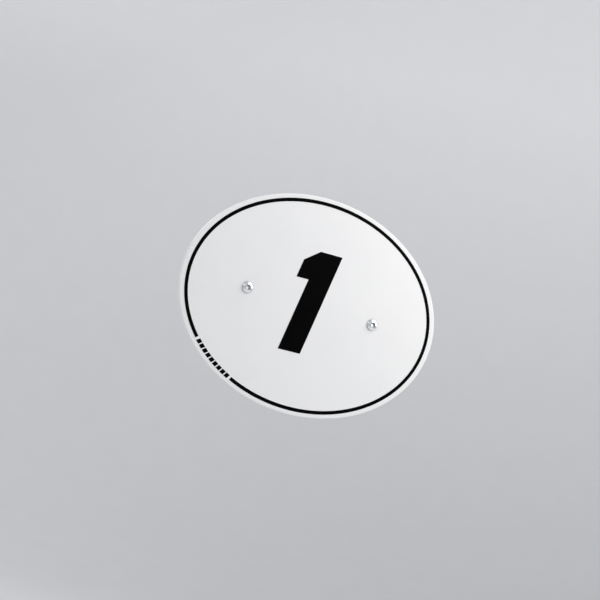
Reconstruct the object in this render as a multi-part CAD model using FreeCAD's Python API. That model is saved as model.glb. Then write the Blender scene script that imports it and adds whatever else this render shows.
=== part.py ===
import FreeCAD, Part
import math
import os

# Oval number board for the side of a motorcycle's tail, on a bent support bracket. Millimetres.
# Pieces are drawn face-on: X right along the long axis, Y up, Z towards the viewer.
# Z is 0 at the bracket's rear face, which bolts to the frame. Finished pieces are stood up,
# so that Z points up and the board's face looks along -Y.

# Board: flat coated sheet with two holes on its long axis
board_length = 251.0
board_height = 197.0
board_thickness = 3.0
board_edge_break = 0.6
screw_pitch = 125.0

# Printed film on the face: border line, row of marks in the line's gap, numeral
film_thickness = 0.15
line_margin_ends = 6.5
line_margin_sides = 5.3
line_width = 3.2
line_gap_from = 215.7
line_gap_to = 241.0
line_gap_cut = 13.0
mark_count = 9
mark_length = 3.8
mark_height = 4.0
mark_lean = 0.8
mark_end_gap = 2.4
numeral_foot_x = -21.2
numeral_foot_y = -44.5
numeral_height = 94.5
numeral_stem = 21.7
numeral_flag_reach = 12.0
numeral_flag_low = 67.1
numeral_flag_high = 83.8
numeral_slant = 11.0
numeral_rise = 2.0

# Button-head screws with a hexagon socket, size M6
screw_diameter = 6.0
screw_length = 20.0
screw_tip = 0.9
head_diameter = 10.5
head_height = 3.3
head_rim = 0.5
socket_width = 4.0
socket_depth = 2.1

# Washers and lock nuts behind the board
rubber_diameter = 18.0
rubber_thickness = 3.0
washer_diameter = 12.0
washer_thickness = 1.6
nut_width = 10.0
nut_hex_height = 4.4
nut_collar_diameter = 8.8
nut_collar_height = 1.6
nut_collar_break = 0.5
nut_ring_diameter = 7.6
nut_ring_height = 1.3
nut_chamfer_width = 9.5
nut_chamfer_angle = 30.0

# Support bracket: one bent strip with an ear at each end and a web between two legs
bracket_depth = 30.0
bracket_sheet = 3.0
bracket_bend_radius = 3.0
bracket_edge_break = 0.4
bracket_leg_angle = 75.0
web_length = 74.0
web_height = 40.0
web_corner_radius = 10.0
ear_radius = 12.5
slot_pitch = 40.0
slot_length = 16.0
slot_width = 8.4

# Clearances, and how edges are told apart
hole_clearance = 0.3
washer_clearance = 0.2
thread_clearance = 0.05
ring_clearance = 0.05
same_place = 0.01
sharp_turn = 60.0

# Levels of the stack, from the bracket's rear face to the viewer
ear_front = bracket_depth
ear_back = ear_front - bracket_sheet
board_back = ear_front + rubber_thickness
board_face = board_back + board_thickness
nut_seat = ear_back - washer_thickness
line_length = board_length - 2 * line_margin_ends
line_height = board_height - 2 * line_margin_sides
screw_radius = screw_diameter / 2
screw_places = (-screw_pitch / 2, screw_pitch / 2)


def vector(x, y, z=0.0):
    return FreeCAD.Vector(x, y, z)


def save(node, solids):
    shape = Part.makeCompound(solids)
    shape.rotate(vector(0, 0), vector(1, 0), 90)
    shape.exportStep("parts/" + node + ".step")


def at_screws(solid):
    copies = []
    for x in screw_places:
        copy = solid.copy()
        copy.translate(vector(x, 0))
        copies.append(copy)
    return copies


def outline_face(points):
    return Part.Face(Part.makePolygon(points + points[:1]))


def oval_face(length, height):
    edge = Part.Ellipse(vector(0, 0), length / 2, height / 2).toShape()
    return Part.Face(Part.Wire([edge]))


def round_bar(radius, low, high, x=0.0):
    return Part.makeCylinder(radius, high - low, vector(x, 0, low))


def ring(outer_diameter, bore_radius, low, high):
    return round_bar(outer_diameter / 2, low, high).cut(round_bar(bore_radius, low, high))


def hexagon(width, low, high):
    corner = width / 2 / math.cos(math.pi / 6)
    points = []
    for step in range(6):
        turn = step * math.pi / 3
        points.append(vector(corner * math.cos(turn), corner * math.sin(turn), low))
    return outline_face(points).extrude(vector(0, 0, high - low))


def make_board():
    board = oval_face(board_length, board_height).extrude(vector(0, 0, board_thickness))
    rims = [edge for edge in board.Edges if isinstance(edge.Curve, Part.Ellipse)]
    board = board.makeChamfer(board_edge_break, rims)
    board.translate(vector(0, 0, board_back))
    for x in screw_places:
        board = board.cut(round_bar(screw_radius + hole_clearance, board_back, board_face, x))
    return board


def line_place(turn):
    # Point on the line's middle, with the directions along the line and out of the oval
    a = line_length / 2
    b = line_height / 2
    point = vector(a * math.cos(turn), b * math.sin(turn), board_face)
    along = vector(-a * math.sin(turn), b * math.cos(turn)).normalize()
    return point, along, vector(along.y, -along.x)


def make_border_line():
    outer = oval_face(line_length + line_width, line_height + line_width)
    inner = oval_face(line_length - line_width, line_height - line_width)
    band = outer.cut(inner).extrude(vector(0, 0, film_thickness))
    band.translate(vector(0, 0, board_face))
    # The gap is cut square to the line at both ends, clear of the arc between them
    start, start_along, start_out = line_place(math.radians(line_gap_from))
    end, end_along, end_out = line_place(math.radians(line_gap_to))
    corners = [start - start_out * line_gap_cut, start + start_out * line_gap_cut]
    corners += [end + end_out * line_gap_cut, end - end_out * line_gap_cut]
    return band.cut(outline_face(corners).extrude(vector(0, 0, film_thickness)))


def make_border_marks():
    arc = Part.Ellipse(vector(0, 0), line_length / 2, line_height / 2)
    gap = arc.toShape(math.radians(line_gap_from), math.radians(line_gap_to))
    room = gap.Length - 2 * mark_end_gap - mark_length
    marks = []
    for index in range(mark_count):
        run = mark_end_gap + mark_length / 2 + room * index / (mark_count - 1)
        point, along, out = line_place(gap.getParameterByLength(run))
        half = along * (mark_length / 2)
        lean = along * (mark_lean / 2)
        rise = out * (mark_height / 2)
        corners = [point - half - lean + rise, point + half - lean + rise]
        corners += [point + half + lean - rise, point - half + lean - rise]
        marks.append(outline_face(corners).extrude(vector(0, 0, film_thickness)))
    return marks


def make_numeral():
    # The stem leans to the right, and the level edges climb a little
    lean = math.tan(math.radians(numeral_slant))
    rise = math.tan(math.radians(numeral_rise))
    upright = [(0, 0), (numeral_stem, 0), (numeral_stem, numeral_height), (0, numeral_height)]
    upright += [(-numeral_flag_reach, numeral_flag_high), (-numeral_flag_reach, numeral_flag_low)]
    upright += [(0, numeral_flag_low)]
    points = []
    for x, y in upright:
        points.append(vector(numeral_foot_x + x + lean * y, numeral_foot_y + y + rise * x, board_face))
    return outline_face(points).extrude(vector(0, 0, film_thickness))


def make_screw():
    rim = vector(head_diameter / 2, 0, head_rim)
    crown = vector(0, 0, head_height)
    rise = head_height - head_rim
    dome_radius = (rim.x * rim.x + rise * rise) / (2 * rise)
    middle_x = rim.x / 2
    middle_z = head_height - dome_radius + math.sqrt(dome_radius * dome_radius - middle_x * middle_x)
    dome = Part.Arc(rim, vector(middle_x, 0, middle_z), crown).toShape()
    side = [crown, vector(0, 0, -screw_length), vector(screw_radius - screw_tip, 0, -screw_length)]
    side += [vector(screw_radius, 0, screw_tip - screw_length), vector(screw_radius, 0)]
    side += [vector(head_diameter / 2, 0), rim]
    profile = Part.Face(Part.Wire(Part.makePolygon(side).Edges + [dome]))
    screw = profile.revolve(vector(0, 0), vector(0, 0, 1), 360)
    screw = screw.cut(hexagon(socket_width, head_height - socket_depth, head_height))
    screw.translate(vector(0, 0, board_face))
    return screw


def make_rubber_washer():
    return ring(rubber_diameter, screw_radius + washer_clearance, ear_front, board_back)


def make_flat_washer():
    return ring(washer_diameter, screw_radius + washer_clearance, nut_seat, ear_back)


def make_lock_nut():
    hex_back = nut_seat - nut_hex_height
    collar_back = hex_back - nut_collar_height
    corner = nut_width / math.sqrt(3)
    flat = nut_chamfer_width / 2
    slope = (corner - flat) * math.tan(math.radians(nut_chamfer_angle))
    side = [vector(0, 0, hex_back), vector(flat, 0, hex_back), vector(corner, 0, hex_back + slope)]
    side += [vector(corner, 0, nut_seat - slope), vector(flat, 0, nut_seat), vector(0, 0, nut_seat)]
    turned = outline_face(side).revolve(vector(0, 0), vector(0, 0, 1), 360)
    collar = round_bar(nut_collar_diameter / 2, collar_back, nut_seat)
    rims = [edge for edge in collar.Edges if edge.Closed and edge.BoundBox.ZMax < hex_back]
    collar = collar.makeChamfer(nut_collar_break, rims)
    nut = hexagon(nut_width, hex_back, nut_seat).common(turned).fuse(collar).removeSplitter()
    nut = nut.cut(round_bar(screw_radius + thread_clearance, collar_back, nut_seat))
    seat_radius = nut_ring_diameter / 2 + ring_clearance
    return nut.cut(round_bar(seat_radius, collar_back, collar_back + nut_ring_height))


def make_nut_ring():
    collar_back = nut_seat - nut_hex_height - nut_collar_height
    ring_front = collar_back + nut_ring_height
    return ring(nut_ring_diameter, screw_radius + thread_clearance, collar_back, ring_front)


def bent_strip():
    # Hat profile with sharp corners, mirrored about X = 0, then every bend rounded inside and out
    angle = math.radians(bracket_leg_angle)
    web_back = web_length / 2
    ear_inner = web_back + ear_back / math.tan(angle)
    leg_shift = bracket_sheet / math.sin(angle)
    web_front = web_back - leg_shift + bracket_sheet / math.tan(angle)
    ear_outer = web_back - leg_shift + ear_front / math.tan(angle)
    end = screw_pitch / 2 + ear_radius
    right = [(0, 0), (web_back, 0), (ear_inner, ear_back), (end, ear_back)]
    right += [(end, ear_front), (ear_outer, ear_front), (web_front, bracket_sheet), (0, bracket_sheet)]
    points = [vector(x, -web_height / 2, z) for x, z in right]
    points += [vector(-x, -web_height / 2, z) for x, z in reversed(right[1:-1])]
    strip = outline_face(points).extrude(vector(0, web_height, 0))
    outside = [(web_back, 0), (ear_outer, ear_front)]
    inside = [(ear_inner, ear_back), (web_front, bracket_sheet)]
    for corners, radius in ((outside, bracket_bend_radius + bracket_sheet), (inside, bracket_bend_radius)):
        strip = strip.makeFillet(radius, [bend for place in corners for bend in bends_at(strip, *place)])
    return strip, web_front, ear_inner


def bends_at(strip, x, z):
    found = []
    for edge in strip.Edges:
        middle = edge.CenterOfMass
        near = abs(abs(middle.x) - x) < same_place and abs(middle.z - z) < same_place
        if near and edge.Length > web_height / 2:
            found.append(edge)
    return found


def make_bracket():
    strip, web_front, ear_inner = bent_strip()
    wide = web_height / 2
    ear_start = ear_inner + bracket_bend_radius
    right = [(web_front, wide), (ear_start, ear_radius), (screw_pitch / 2, ear_radius)]
    points = [vector(x, y) for x, y in right]
    points += [vector(x, -y) for x, y in reversed(right)]
    points += [vector(-x, -y) for x, y in right]
    points += [vector(-x, y) for x, y in reversed(right)]
    blank = outline_face(points).extrude(vector(0, 0, bracket_depth))
    corners = []
    for edge in blank.Edges:
        middle = edge.CenterOfMass
        if edge.BoundBox.ZLength > bracket_depth / 2 and abs(middle.x) < screw_pitch / 2 - same_place:
            corners.append(edge)
    blank = blank.makeFillet(web_corner_radius, corners)
    for x in screw_places:
        blank = blank.fuse(round_bar(ear_radius, 0, bracket_depth, x))
    bracket = strip.common(blank.removeSplitter())
    for x in screw_places:
        bracket = bracket.cut(round_bar(screw_radius + hole_clearance, ear_back, ear_front, x))
    for x in (-slot_pitch / 2, slot_pitch / 2):
        bracket = bracket.cut(make_slot(x))
    return bracket.makeChamfer(bracket_edge_break, sharp_edges(bracket))


def sharp_edges(solid):
    # The cut edges of the sheet, without the tangent lines where its bends begin and end
    limit = math.cos(math.radians(sharp_turn))
    found = []
    for edge in solid.Edges:
        middle = edge.valueAt((edge.FirstParameter + edge.LastParameter) / 2)
        sides = solid.ancestorsOfType(edge, Part.Face)
        normals = [side.normalAt(*side.Surface.parameter(middle)) for side in sides]
        if len(sides) == 2 and abs(normals[0].dot(normals[1])) < limit:
            found.append(edge)
    return found


def make_slot(x):
    half_run = (slot_length - slot_width) / 2
    ends = [round_bar(slot_width / 2, 0, bracket_sheet, x + side * half_run) for side in (-1, 1)]
    low = vector(x - half_run, -slot_width / 2)
    middle = Part.makeBox(2 * half_run, slot_width, bracket_sheet, low)
    return middle.fuse(ends).removeSplitter()


os.makedirs("parts", exist_ok=True)
save("board", [make_board()])
save("border_line", [make_border_line()])
save("border_marks", make_border_marks())
save("numeral", [make_numeral()])
save("board_screws", at_screws(make_screw()))
save("rubber_washers", at_screws(make_rubber_washer()))
save("support_bracket", [make_bracket()])
save("flat_washers", at_screws(make_flat_washer()))
save("lock_nuts", at_screws(make_lock_nut()))
save("nut_rings", at_screws(make_nut_ring()))
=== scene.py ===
import bmesh
import bpy
import math
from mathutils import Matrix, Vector


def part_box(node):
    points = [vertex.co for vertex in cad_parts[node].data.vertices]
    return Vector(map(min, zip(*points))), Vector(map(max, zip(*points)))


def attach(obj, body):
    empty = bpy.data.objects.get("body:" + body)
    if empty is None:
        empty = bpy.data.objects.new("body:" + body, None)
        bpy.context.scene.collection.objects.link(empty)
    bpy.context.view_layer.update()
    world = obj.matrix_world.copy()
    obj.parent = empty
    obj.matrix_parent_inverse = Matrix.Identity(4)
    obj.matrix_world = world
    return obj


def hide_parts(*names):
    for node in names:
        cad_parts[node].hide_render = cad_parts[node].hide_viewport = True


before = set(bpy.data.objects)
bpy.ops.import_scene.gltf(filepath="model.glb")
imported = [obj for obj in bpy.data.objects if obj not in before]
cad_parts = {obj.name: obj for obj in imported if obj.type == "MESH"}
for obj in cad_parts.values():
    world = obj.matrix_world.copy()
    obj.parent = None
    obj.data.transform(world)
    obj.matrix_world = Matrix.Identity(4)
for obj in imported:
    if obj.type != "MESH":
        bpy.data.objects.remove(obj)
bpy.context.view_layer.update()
mm = 0.001
hair = 0.01 * mm  # slack for telling points apart
weldGap = 0.0001 * mm
print("frame loaded:", len(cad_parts), "nodes")


def linearHex(text):
    # sRGB hex to the linear colour that the shader sockets take
    parts = [int(text[i:i + 2], 16) / 255 for i in (1, 3, 5)]
    return [p / 12.92 if p <= 0.04045 else ((p + 0.055) / 1.055) ** 2.4 for p in parts] + [1.0]


def addNode(tree, kind, settings=None, links=None):
    # settings: attributes and socket values; links: input socket to (node, output socket)
    node = tree.nodes.new(kind)
    for key, value in (settings or {}).items():
        if isinstance(key, str) and hasattr(node, key):
            setattr(node, key, value)
        else:
            node.inputs[key].default_value = value
    for key, (source, output) in (links or {}).items():
        tree.links.new(source.outputs[output], node.inputs[key])
    return node


def newMaterial(name, shaderSettings):
    material = bpy.data.materials.new(name)
    material.use_nodes = True
    tree = material.node_tree
    tree.nodes.clear()
    shader = addNode(tree, "ShaderNodeBsdfPrincipled", shaderSettings)
    addNode(tree, "ShaderNodeOutputMaterial", links={"Surface": (shader, "BSDF")})
    place = addNode(tree, "ShaderNodeTexCoord")
    return material, tree, shader, place


def scaleFor(width):
    # pattern scale, in cycles a metre, whose blobs are about this wide
    return 1 / width


# what the finishes share: two tints in soft clouds, gloss that wanders, and a fine grain raised as bump
def mottledFinish(name, shaderSettings, look):
    material, tree, shader, place = newMaterial(name, shaderSettings)
    tintFrom, tintTo = (linearHex(text) for text in look["tints"])
    cloud = addNode(tree, "ShaderNodeTexNoise",
                    {"Scale": scaleFor(look["cloud"]), "Detail": look["cloudDetail"]},
                    {"Vector": (place, "Object")})
    tint = addNode(tree, "ShaderNodeMix", {"data_type": "RGBA", 6: tintFrom, 7: tintTo}, {0: (cloud, "Fac")})
    glossLead = cloud
    if "grain" in look:
        if look.get("pebbled"):
            grain = addNode(tree, "ShaderNodeTexVoronoi", {"feature": "SMOOTH_F1"})
            height = "Distance"
        else:
            grain = addNode(tree, "ShaderNodeTexNoise", {"Detail": look["grainDetail"]})
            height = "Fac"
        grain.inputs["Scale"].default_value = scaleFor(look["grain"])
        tree.links.new(place.outputs["Object"], grain.inputs["Vector"])
        bump = addNode(tree, "ShaderNodeBump", {"Strength": look["relief"], "Distance": look["grainDepth"]},
                       {"Height": (grain, height)})
        tree.links.new(bump.outputs["Normal"], shader.inputs["Normal"])
        if look.get("glossFollowsGrain"):
            glossLead = grain
    glossLow, glossHigh = look["gloss"]
    gloss = addNode(tree, "ShaderNodeMapRange", {"To Min": glossLow, "To Max": glossHigh},
                    {"Value": (glossLead, "Fac")})
    if "dullPlateAndShade" in look:
        # this attribute, from 0 to 1, says where the colour is painted darker and the surface rougher: partly
        # thin dull plating, partly painted shade
        thinPlateAndShade = addNode(tree, "ShaderNodeAttribute", {"attribute_name": "thinPlateAndShade"})
        tint = addNode(tree, "ShaderNodeMix", {"data_type": "RGBA", 7: linearHex(look["dullPlateAndShade"])},
                       {0: (thinPlateAndShade, "Fac"), 6: (tint, 2)})
        gloss = addNode(tree, "ShaderNodeMath", {"operation": "MULTIPLY_ADD", 1: look["dullRoughness"]},
                        {0: (thinPlateAndShade, "Fac"), 2: (gloss, 0)})
    tree.links.new(tint.outputs[2], shader.inputs["Base Color"])
    tree.links.new(gloss.outputs[0], shader.inputs["Roughness"])
    return material


finish = {}
# smooth polyester powder coat: clean white, satin, with a faint orange peel that softens what it mirrors
finish["whiteCoat"] = mottledFinish("whitePowderCoat", {"IOR": 1.5, "Specular IOR Level": 0.45}, {
    "tints": ("#ececee", "#f1f1f2"), "cloud": 40 * mm, "cloudDetail": 2.0,
    "gloss": (0.27, 0.35), "glossFollowsGrain": True,
    "grain": 1.8 * mm, "grainDetail": 1.0, "grainDepth": 0.025 * mm, "relief": 0.6})

# cast vinyl film: deep even black, low gloss, and a fine calendered grain,
# drawn coarser than it is so that it shows
finish["film"] = mottledFinish("blackVinylFilm", {"IOR": 1.5, "Specular IOR Level": 0.02}, {
    "tints": ("#020203", "#050506"), "cloud": 25 * mm, "cloudDetail": 3.0, "gloss": (0.36, 0.46),
    "grain": 0.7 * mm, "grainDetail": 2.0, "grainDepth": 0.004 * mm, "relief": 0.5})

# bright zinc plate on cold-formed steel: cool silver, slightly cloudy, with a hint of blue passivation;
# the colour is painted darker in the socket, at the head's rim and dome edge, in the thread roots and at the
# tip, partly for thin dull plating and partly as painted shade
finish["zinc"] = mottledFinish("brightZincPlate", {"Metallic": 1.0}, {
    "tints": ("#f6f7f8", "#eaeff3"), "cloud": 2.5 * mm, "cloudDetail": 4.0, "gloss": (0.09, 0.2),
    "grain": 0.5 * mm, "grainDetail": 2.0, "grainDepth": 0.006 * mm, "relief": 0.4,
    "dullPlateAndShade": "#666c72", "dullRoughness": 0.25})

# fine-textured black powder coat: charcoal black that breaks its highlights into a dense sparkle of grains,
# drawn coarser than they are so that they show
finish["blackCoat"] = mottledFinish("blackPowderCoat", {"IOR": 1.5}, {
    "tints": ("#121213", "#1d1d1f"), "cloud": 18 * mm, "cloudDetail": 3.0, "gloss": (0.42, 0.6),
    "grain": 0.8 * mm, "pebbled": True, "grainDepth": 0.16 * mm, "relief": 1.0})

# moulded EPDM rubber: matt dark grey with a dry bloom
finish["rubber"] = mottledFinish("mouldedRubber", {"IOR": 1.5, "Specular IOR Level": 0.3}, {
    "tints": ("#18181a", "#2b2b2d"), "cloud": 5 * mm, "cloudDetail": 4.0, "gloss": (0.65, 0.85),
    "grain": 0.6 * mm, "grainDetail": 2.0, "grainDepth": 0.03 * mm, "relief": 0.6})

# natural nylon: milky off-white, soft sheen, a little light let in under the skin
nylonSkin = {"IOR": 1.53, "Subsurface Weight": 0.25, "Subsurface Scale": 0.6 * mm}
finish["nylon"] = mottledFinish("naturalNylon", nylonSkin, {
    "tints": ("#d9d6c8", "#e9e7dd"), "cloud": 3 * mm, "cloudDetail": 2.0, "gloss": (0.4, 0.5)})
print("finishes:", len(finish))


def newPiece(name, bm, material, sharpAngle=None):
    mesh = bpy.data.meshes.new(name)
    bm.to_mesh(mesh)
    bm.free()
    mesh.materials.append(material)
    if sharpAngle is not None:
        mesh.shade_smooth()
        mesh.set_sharp_from_angle(angle=math.radians(sharpAngle))
    piece = bpy.data.objects.new(name, mesh)
    bpy.context.scene.collection.objects.link(piece)
    return piece


def standFor(piece, node):
    # the piece takes the CAD node's place on the only body there is
    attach(piece, "root")
    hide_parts(node)


def turnsOf(count):
    return [2 * math.pi * i / count for i in range(count)]


def screwPitch():
    # the screws' box is their pitch and a head wide
    low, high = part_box("board_screws")
    return high.x - low.x - (high.z - low.z)


# board: flat oval sheet, edges rounded over by the coat, two holes for the screws
def makeBoard():
    size = {"edgeRadius": 0.9 * mm, "edgeSteps": 6, "rimSegments": 320,
            "holeRadius": 3.3 * mm, "holeSegments": 48}
    low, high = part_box("board")
    halfLength, halfHeight = (high.x - low.x) / 2, (high.z - low.z) / 2
    holeX = screwPitch() / 2
    bm = bmesh.new()

    def rimLoop(inset, y):
        loop = []
        for turn in turnsOf(size["rimSegments"]):
            out = Vector((halfHeight * math.cos(turn), 0, halfLength * math.sin(turn))).normalized()
            point = Vector((halfLength * math.cos(turn), y, halfHeight * math.sin(turn))) - out * inset
            loop.append(bm.verts.new(point))
        return loop

    def holeLoop(x, y):
        radius = size["holeRadius"]
        turns = turnsOf(size["holeSegments"])
        return [bm.verts.new((x + radius * math.cos(turn), y, radius * math.sin(turn))) for turn in turns]

    def bridge(first, second):
        count = len(first)
        for i in range(count):
            j = (i + 1) % count
            bm.faces.new((first[i], first[j], second[j], second[i])).smooth = True

    # rounded edge, from the front face round to the back
    steps = [math.pi / 2 * i / size["edgeSteps"] for i in range(size["edgeSteps"] + 1)]
    radius = size["edgeRadius"]
    loops = [rimLoop(radius * (1 - math.sin(a)), low.y + radius * (1 - math.cos(a))) for a in steps]
    loops += [rimLoop(radius * (1 - math.cos(a)), high.y - radius * (1 - math.sin(a))) for a in steps]
    for first, second in zip(loops, loops[1:]):
        bridge(first, second)
    holes = [(holeLoop(x, low.y), holeLoop(x, high.y)) for x in (-holeX, holeX)]
    for front, back in holes:
        bridge(front, back)
    for rim, rings in ((loops[0], [h[0] for h in holes]), (loops[-1], [h[1] for h in holes])):
        edges = [bm.edges.get((ring[i], ring[i - 1])) for ring in [rim] + rings for i in range(len(ring))]
        bmesh.ops.triangle_fill(bm, edges=edges, use_beauty=True)
    bmesh.ops.recalc_face_normals(bm, faces=bm.faces)
    standFor(newPiece("boardSheet", bm, finish["whiteCoat"]), "board")


# a turned part round the Y axis: profileAt(turn) gives (radius, y) points, joined column to column
def turnedMesh(name, profileAt, columns, closed, material, sharpAngle):
    bm = bmesh.new()
    grid = []
    for turn in turnsOf(columns):
        grid.append([bm.verts.new((r * math.cos(turn), y, r * math.sin(turn))) for r, y in profileAt(turn)])
    rows = len(grid[0])
    for c in range(columns):
        here, there = grid[c], grid[(c + 1) % columns]
        for i in range(rows if closed else rows - 1):
            j = (i + 1) % rows
            bm.faces.new((here[i], here[j], there[j], there[i]))
    bmesh.ops.remove_doubles(bm, verts=bm.verts, dist=weldGap)
    bmesh.ops.recalc_face_normals(bm, faces=bm.faces)
    return newPiece(name, bm, material, sharpAngle)


def hexRadius(turn, width):
    # distance from the axis to a hexagon's side, at this turn
    return width / 2 / math.cos((turn + math.pi / 6) % (math.pi / 3) - math.pi / 6)


# node tree that sets one fastener at each screw, a pitch apart along X
def fastenerTree():
    tree = bpy.data.node_groups.new("fastenerRow", "GeometryNodeTree")
    tree.interface.new_socket("Fastener", in_out="INPUT", socket_type="NodeSocketGeometry")
    tree.interface.new_socket("Pitch", in_out="INPUT", socket_type="NodeSocketFloat")
    tree.interface.new_socket("Finish", in_out="INPUT", socket_type="NodeSocketMaterial")
    tree.interface.new_socket("Row", in_out="OUTPUT", socket_type="NodeSocketGeometry")
    given = addNode(tree, "NodeGroupInput")
    half = addNode(tree, "ShaderNodeMath", {"operation": "MULTIPLY", 1: -0.5}, {0: (given, "Pitch")})
    start = addNode(tree, "ShaderNodeCombineXYZ", links={"X": (half, "Value")})
    step = addNode(tree, "ShaderNodeCombineXYZ", links={"X": (given, "Pitch")})
    places = addNode(tree, "GeometryNodeMeshLine", {"Count": 2},
                     {"Start Location": (start, "Vector"), "Offset": (step, "Vector")})
    copies = addNode(tree, "GeometryNodeInstanceOnPoints",
                     links={"Points": (places, "Mesh"), "Instance": (given, "Fastener")})
    real = addNode(tree, "GeometryNodeRealizeInstances", links={"Geometry": (copies, "Instances")})
    coated = addNode(tree, "GeometryNodeSetMaterial",
                     links={"Geometry": (real, "Geometry"), "Material": (given, "Finish")})
    addNode(tree, "NodeGroupOutput", links={"Row": (coated, "Geometry")})
    return tree


rowTree = fastenerTree()


def setAtScrews(single, name, node):
    # runs the tree on one fastener, keeps the result as a plain mesh and drops the single one
    modifier = single.modifiers.new("row", "NODES")
    modifier.node_group = rowTree
    sockets = {item.name: item.identifier for item in rowTree.interface.items_tree if item.in_out == "INPUT"}
    modifier[sockets["Pitch"]] = screwPitch()
    modifier[sockets["Finish"]] = single.data.materials[0]
    depsgraph = bpy.context.evaluated_depsgraph_get()
    mesh = bpy.data.meshes.new_from_object(single.evaluated_get(depsgraph))
    mesh.name = name
    piece = bpy.data.objects.new(name, mesh)
    bpy.context.scene.collection.objects.link(piece)
    bpy.data.objects.remove(single)
    standFor(piece, node)


# screws: domed head with a hexagon socket, threaded all the way
def makeScrews():
    size = {"columns": 96, "sharpAngle": 32, "headHeight": 3.3 * mm, "domeRows": 9,
            "rim": 0.5 * mm, "rimRound": 0.2 * mm, "rimLead": 0.06 * mm, "rimTurn": 0.12 * mm,
            "socketWidth": 4.0 * mm, "socketDepth": 2.1 * mm, "socketCone": 0.5 * mm,
            "mouth": 0.18 * mm, "mouthDrop": 0.27 * mm,
            "shank": 6.0 * mm, "play": 0.03 * mm, "neck": 1.0 * mm, "tip": 1.0 * mm, "tipShare": 0.88,
            "threadPitch": 1.0 * mm, "threadDepth": 0.55 * mm, "threadRows": 8,
            "crestFlat": 1.25, "flankSlope": 3}
    # how dark each place is painted: painted shade in the socket, at the rim and round the dome's edge,
    # partly standing for thin dull plating
    dullPlateAndShade = {"socket": 0.9, "rim": 1.0, "edge": 0.5, "edgeFrom": 0.93}
    low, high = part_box("board_screws")
    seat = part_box("board")[0].y
    headRadius = (high.z - low.z) / 2
    mouthRadius = size["socketWidth"] / 2 / math.cos(math.pi / 6)
    rise = size["headHeight"] - size["rim"]
    domeRadius = (headRadius ** 2 + rise ** 2) / (2 * rise)

    def domeY(r):
        return seat - (size["headHeight"] - domeRadius + math.sqrt(domeRadius ** 2 - r ** 2))

    mouthY = domeY(mouthRadius) + size["mouthDrop"]
    floorY = seat - size["headHeight"] + size["socketDepth"]
    crest = size["shank"] / 2 - size["play"]
    root = crest - size["threadDepth"]
    tipRadius = root * size["tipShare"]
    threadTop = seat + size["neck"]
    rowStep = size["threadPitch"] / size["threadRows"]
    threadRowCount = int(round((high.y - threadTop) / rowStep))

    def profileAt(turn):
        socket = hexRadius(turn, size["socketWidth"])
        points = [(0, floorY + size["socketCone"]), (socket, floorY), (socket, mouthY)]
        inner = socket + size["mouth"]
        outer = headRadius - size["rimLead"]
        for i in range(size["domeRows"] + 1):
            r = inner + (outer - inner) * i / size["domeRows"]
            points.append((r, domeY(r)))
        points += [(headRadius, seat - size["rim"] + size["rimTurn"]), (headRadius, seat - size["rimRound"])]
        points += [(headRadius - size["rimRound"], seat), (crest, seat), (crest, threadTop)]
        for i in range(threadRowCount + 1):
            y = threadTop + rowStep * i
            wave = (y / size["threadPitch"] + turn / (2 * math.pi)) % 1
            # flat crest, sloped flanks, narrow root, and a lead-in at the tip
            height = max(0, min(1, size["crestFlat"] - abs(wave - 0.5) * size["flankSlope"]))
            taper = min(1, (high.y - y) / size["tip"])
            points.append((min(root + (crest - root) * height, tipRadius + (crest - tipRadius) * taper), y))
        points.append((0, high.y))
        return points

    single = turnedMesh("screwSingle", profileAt, size["columns"], False, finish["zinc"], size["sharpAngle"])
    # per point, how far the zinc is painted towards the dark dull tint: painted shade in hollows and round
    # the head, partly thin dull plating
    thinPlateAndShade = single.data.attributes.new("thinPlateAndShade", "FLOAT", "POINT")
    for vertex, value in zip(single.data.vertices, thinPlateAndShade.data):
        r = math.hypot(vertex.co.x, vertex.co.z)
        y = vertex.co.y
        # thread roots painted darker: painted shade, partly thin dull plating
        if threadTop < y < high.y - size["tip"]:
            value.value = max(0, min(1, (crest - r) / (crest - root)))
        elif r < mouthRadius + size["mouth"] / 2 and y > mouthY + hair:
            # the socket and the tip, both brighter towards the middle; the darkening is painted shade, partly
            # thin dull plating
            value.value = dullPlateAndShade["socket"] * min(1, 2 * r / size["socketWidth"])
        # the head's rim and the dome's outer edge painted darker: a painted shade outline round the head
        elif r > headRadius - size["rimRound"] - hair and y > seat - size["rim"]:
            value.value = dullPlateAndShade["rim"]
        elif r > headRadius * dullPlateAndShade["edgeFrom"] and y < seat:
            value.value = dullPlateAndShade["edge"]
    setAtScrews(single, "screwSet", "board_screws")


# a flat ring with its edges broken, from front to back
def makeRing(name, node, ring):
    low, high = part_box(node)
    outer, inner, edge = (high.z - low.z) / 2, ring["bore"], ring["edge"]
    middle = 0.29 * edge  # a round's middle lies this far in from the sharp corner, both ways

    def profileAt(turn):
        points = []
        for r, y, inward, along in ((outer, low.y, -1, 1), (outer, high.y, -1, -1),
                                    (inner, high.y, 1, -1), (inner, low.y, 1, 1)):
            corner = [(r + inward * edge, y),
                      (r + inward * middle, y + along * middle),
                      (r, y + along * edge)]
            points += corner if inward * along < 0 else corner[::-1]
        return points

    material = finish[ring["finish"]]
    single = turnedMesh(name + "Single", profileAt, ring["columns"], True, material, ring["sharpAngle"])
    setAtScrews(single, name, node)


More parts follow.
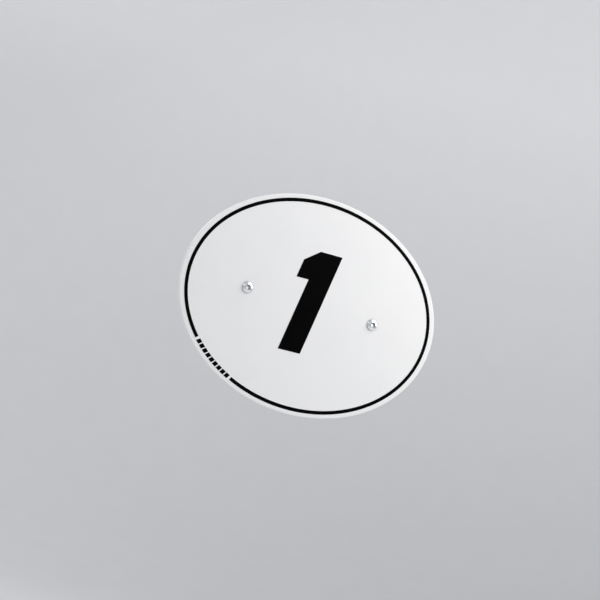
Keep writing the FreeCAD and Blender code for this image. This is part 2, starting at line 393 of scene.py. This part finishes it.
# lock nuts: chamfered hexagon, raised collar rolled over the nylon ring
def makeNuts():
    size = {"columns": 96, "sharpAngle": 28, "width": 10.0 * mm, "chamferWidth": 9.5 * mm, "chamferAngle": 30,
            "collar": 8.8 * mm, "collarHeight": 1.6 * mm, "collarRound": 0.5 * mm, "roundSteps": 4,
            "ring": 7.7 * mm, "ringDepth": 1.3 * mm, "bore": 6.1 * mm}
    low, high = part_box("lock_nuts")
    front, back = low.y, high.y
    hexBack = back - size["collarHeight"]
    ringFront = back - size["ringDepth"]
    slope = math.tan(math.radians(size["chamferAngle"]))
    chamfer, collar, ring, bore = (size[key] / 2 for key in ("chamferWidth", "collar", "ring", "bore"))

    def profileAt(turn):
        corner = hexRadius(turn, size["width"])
        drop = max(0, corner - chamfer) * slope
        points = [(bore, front), (chamfer, front), (corner, front + drop), (corner, hexBack - drop)]
        points += [(chamfer, hexBack), (collar, hexBack)]
        for i in range(size["roundSteps"] + 1):
            a = math.pi / 2 * i / size["roundSteps"]
            r = collar - size["collarRound"] * (1 - math.cos(a))
            points.append((r, back - size["collarRound"] * (1 - math.sin(a))))
        points += [(ring, back), (ring, ringFront), (bore, ringFront)]
        return points

    single = turnedMesh("nutSingle", profileAt, size["columns"], True, finish["zinc"], size["sharpAngle"])
    setAtScrews(single, "lockNutSet", "lock_nuts")


makeBoard()
makeScrews()
makeRing("rubberWasherSet", "rubber_washers",
         {"finish": "rubber", "bore": 3.2 * mm, "edge": 0.5 * mm, "columns": 96, "sharpAngle": 50})
makeRing("flatWasherSet", "flat_washers",
         {"finish": "zinc", "bore": 3.2 * mm, "edge": 0.18 * mm, "columns": 96, "sharpAngle": 50})
makeNuts()
makeRing("nutRingSet", "nut_rings",
         {"finish": "nylon", "bore": 3.05 * mm, "edge": 0.25 * mm, "columns": 72, "sharpAngle": 50})

# the CAD's own shapes are right for the print and the bracket, so those only get their finish
finishOnly = {"border_line": "film", "border_marks": "film", "numeral": "film",
              "support_bracket": "blackCoat"}
for node, key in finishOnly.items():
    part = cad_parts[node]
    part.data.materials.clear()
    part.data.materials.append(finish[key])


# stage: a light tent, its pale cloth floor turning up into a round wall that glows a little
def makeStage():
    size = {"floorZ": -0.42, "floorRadius": 2.0, "bendRadius": 1.3, "wallTop": 2.6, "bendSteps": 20,
            "segments": 96, "sharpAngle": 60}
    look = {"tints": ("#cdced0", "#d1d2d4"), "weave": 60 * mm, "lampLight": "#f6f7f8",
            "glow": {"From Min": -0.4, "From Max": 1.2, "To Min": 0.0, "To Max": 0.3}}
    line = [(0, size["floorZ"]), (size["floorRadius"], size["floorZ"])]
    for i in range(1, size["bendSteps"] + 1):
        a = math.pi / 2 * i / size["bendSteps"]
        line.append((size["floorRadius"] + size["bendRadius"] * math.sin(a),
                     size["floorZ"] + size["bendRadius"] * (1 - math.cos(a))))
    line.append((line[-1][0], size["wallTop"]))
    material, tree, shader, place = newMaterial("tentCloth", {
        "Roughness": 0.9, "Specular IOR Level": 0.1, "Emission Color": linearHex(look["lampLight"])})
    weave = addNode(tree, "ShaderNodeTexNoise", {"Scale": scaleFor(look["weave"])},
                    {"Vector": (place, "Object")})
    tintFrom, tintTo = (linearHex(text) for text in look["tints"])
    tint = addNode(tree, "ShaderNodeMix", {"data_type": "RGBA", 6: tintFrom, 7: tintTo}, {0: (weave, "Fac")})
    # the cloth glows more towards the top, where the lamps hang outside it
    height = addNode(tree, "ShaderNodeSeparateXYZ", links={"Vector": (place, "Object")})
    glow = addNode(tree, "ShaderNodeMapRange", look["glow"], {"Value": (height, "Z")})
    tree.links.new(glow.outputs["Result"], shader.inputs["Emission Strength"])
    tree.links.new(tint.outputs[2], shader.inputs["Base Color"])
    material.cycles.emission_sampling = "NONE"  # too faint to be worth sampling as a lamp
    bm = bmesh.new()
    rings = []
    for radius, z in line:
        turns = turnsOf(size["segments"])
        rings.append([bm.verts.new((radius * math.cos(turn), radius * math.sin(turn), z)) for turn in turns])
    for low, high in zip(rings, rings[1:]):
        for i in range(size["segments"]):
            j = (i + 1) % size["segments"]
            bm.faces.new((low[i], low[j], high[j], high[i]))
    bmesh.ops.remove_doubles(bm, verts=bm.verts, dist=weldGap)
    newPiece("tentCloth", bm, material, size["sharpAngle"])


# camera: to the left of the board's normal and a little below it, rolled so that the board's
# long axis runs down to the right
def makeCamera():
    view = {"yaw": 22.0, "pitch": -7.94, "roll": 13.72, "distance": 1465 * mm, "sensor": 36.0,
            "frame": 600, "pixelsPerMm": 1.12, "faceAt": (310.75, 306.37)}
    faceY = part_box("board")[0].y
    yaw, pitch, roll = (math.radians(view[key]) for key in ("yaw", "pitch", "roll"))
    ahead = Vector((math.sin(yaw) * math.cos(pitch), math.cos(yaw) * math.cos(pitch), -math.sin(pitch)))
    level = Vector((math.cos(yaw), -math.sin(yaw), 0))
    upright = level.cross(ahead)
    right = level * math.cos(roll) + upright * math.sin(roll)
    up = upright * math.cos(roll) - level * math.sin(roll)
    data = bpy.data.cameras.new("photoCamera")
    data.sensor_width = view["sensor"]
    data.lens = view["sensor"] * view["pixelsPerMm"] * view["distance"] / mm / view["frame"]
    data.shift_x = (view["frame"] / 2 - view["faceAt"][0]) / view["frame"]
    data.shift_y = (view["faceAt"][1] - view["frame"] / 2) / view["frame"]
    camera = bpy.data.objects.new("photoCamera", data)
    bpy.context.scene.collection.objects.link(camera)
    matrix = camera.matrix_world.copy()
    for i, column in enumerate((right, up, -ahead, Vector((0, faceY, 0)) - ahead * view["distance"])):
        for j in range(3):
            matrix[j][i] = column[j]
    camera.matrix_world = matrix
    bpy.context.scene.camera = camera


# soft studio light: a near panel high on the right grades the face,
# one far to the left lights the edge and a broad one behind lights the back
def makeLights():
    panels = {"keyHigh": {"at": (0.42, -0.28, 0.42), "size": 0.9, "power": 5.75, "tint": "#fffdf8"},
              "sideLeft": {"at": (-1.5, 0.2, 0.75), "size": 0.9, "power": 4.5, "tint": "#ffffff"},
              "backFill": {"at": (-0.9, 2.0, 1.7), "size": 1.8, "power": 27.0, "tint": "#ffffff"}}
    room = {"Color": linearHex("#f8f9fb"), "Strength": 0.54}
    for name, panel in panels.items():
        data = bpy.data.lights.new(name, "AREA")
        data.energy = panel["power"]
        data.size = panel["size"]
        data.color = linearHex(panel["tint"])[:3]
        lamp = bpy.data.objects.new(name, data)
        lamp.location = panel["at"]
        lamp.rotation_mode = "QUATERNION"
        lamp.rotation_quaternion = (-Vector(panel["at"])).to_track_quat("-Z", "Y")
        bpy.context.scene.collection.objects.link(lamp)
    world = bpy.data.worlds.new("paleRoom")
    world.use_nodes = True
    for key, value in room.items():
        world.node_tree.nodes["Background"].inputs[key].default_value = value
    bpy.context.scene.world = world
    bpy.context.scene.view_settings.view_transform = "Standard"


makeStage()
makeCamera()
makeLights()
print("stage, camera and lights set")
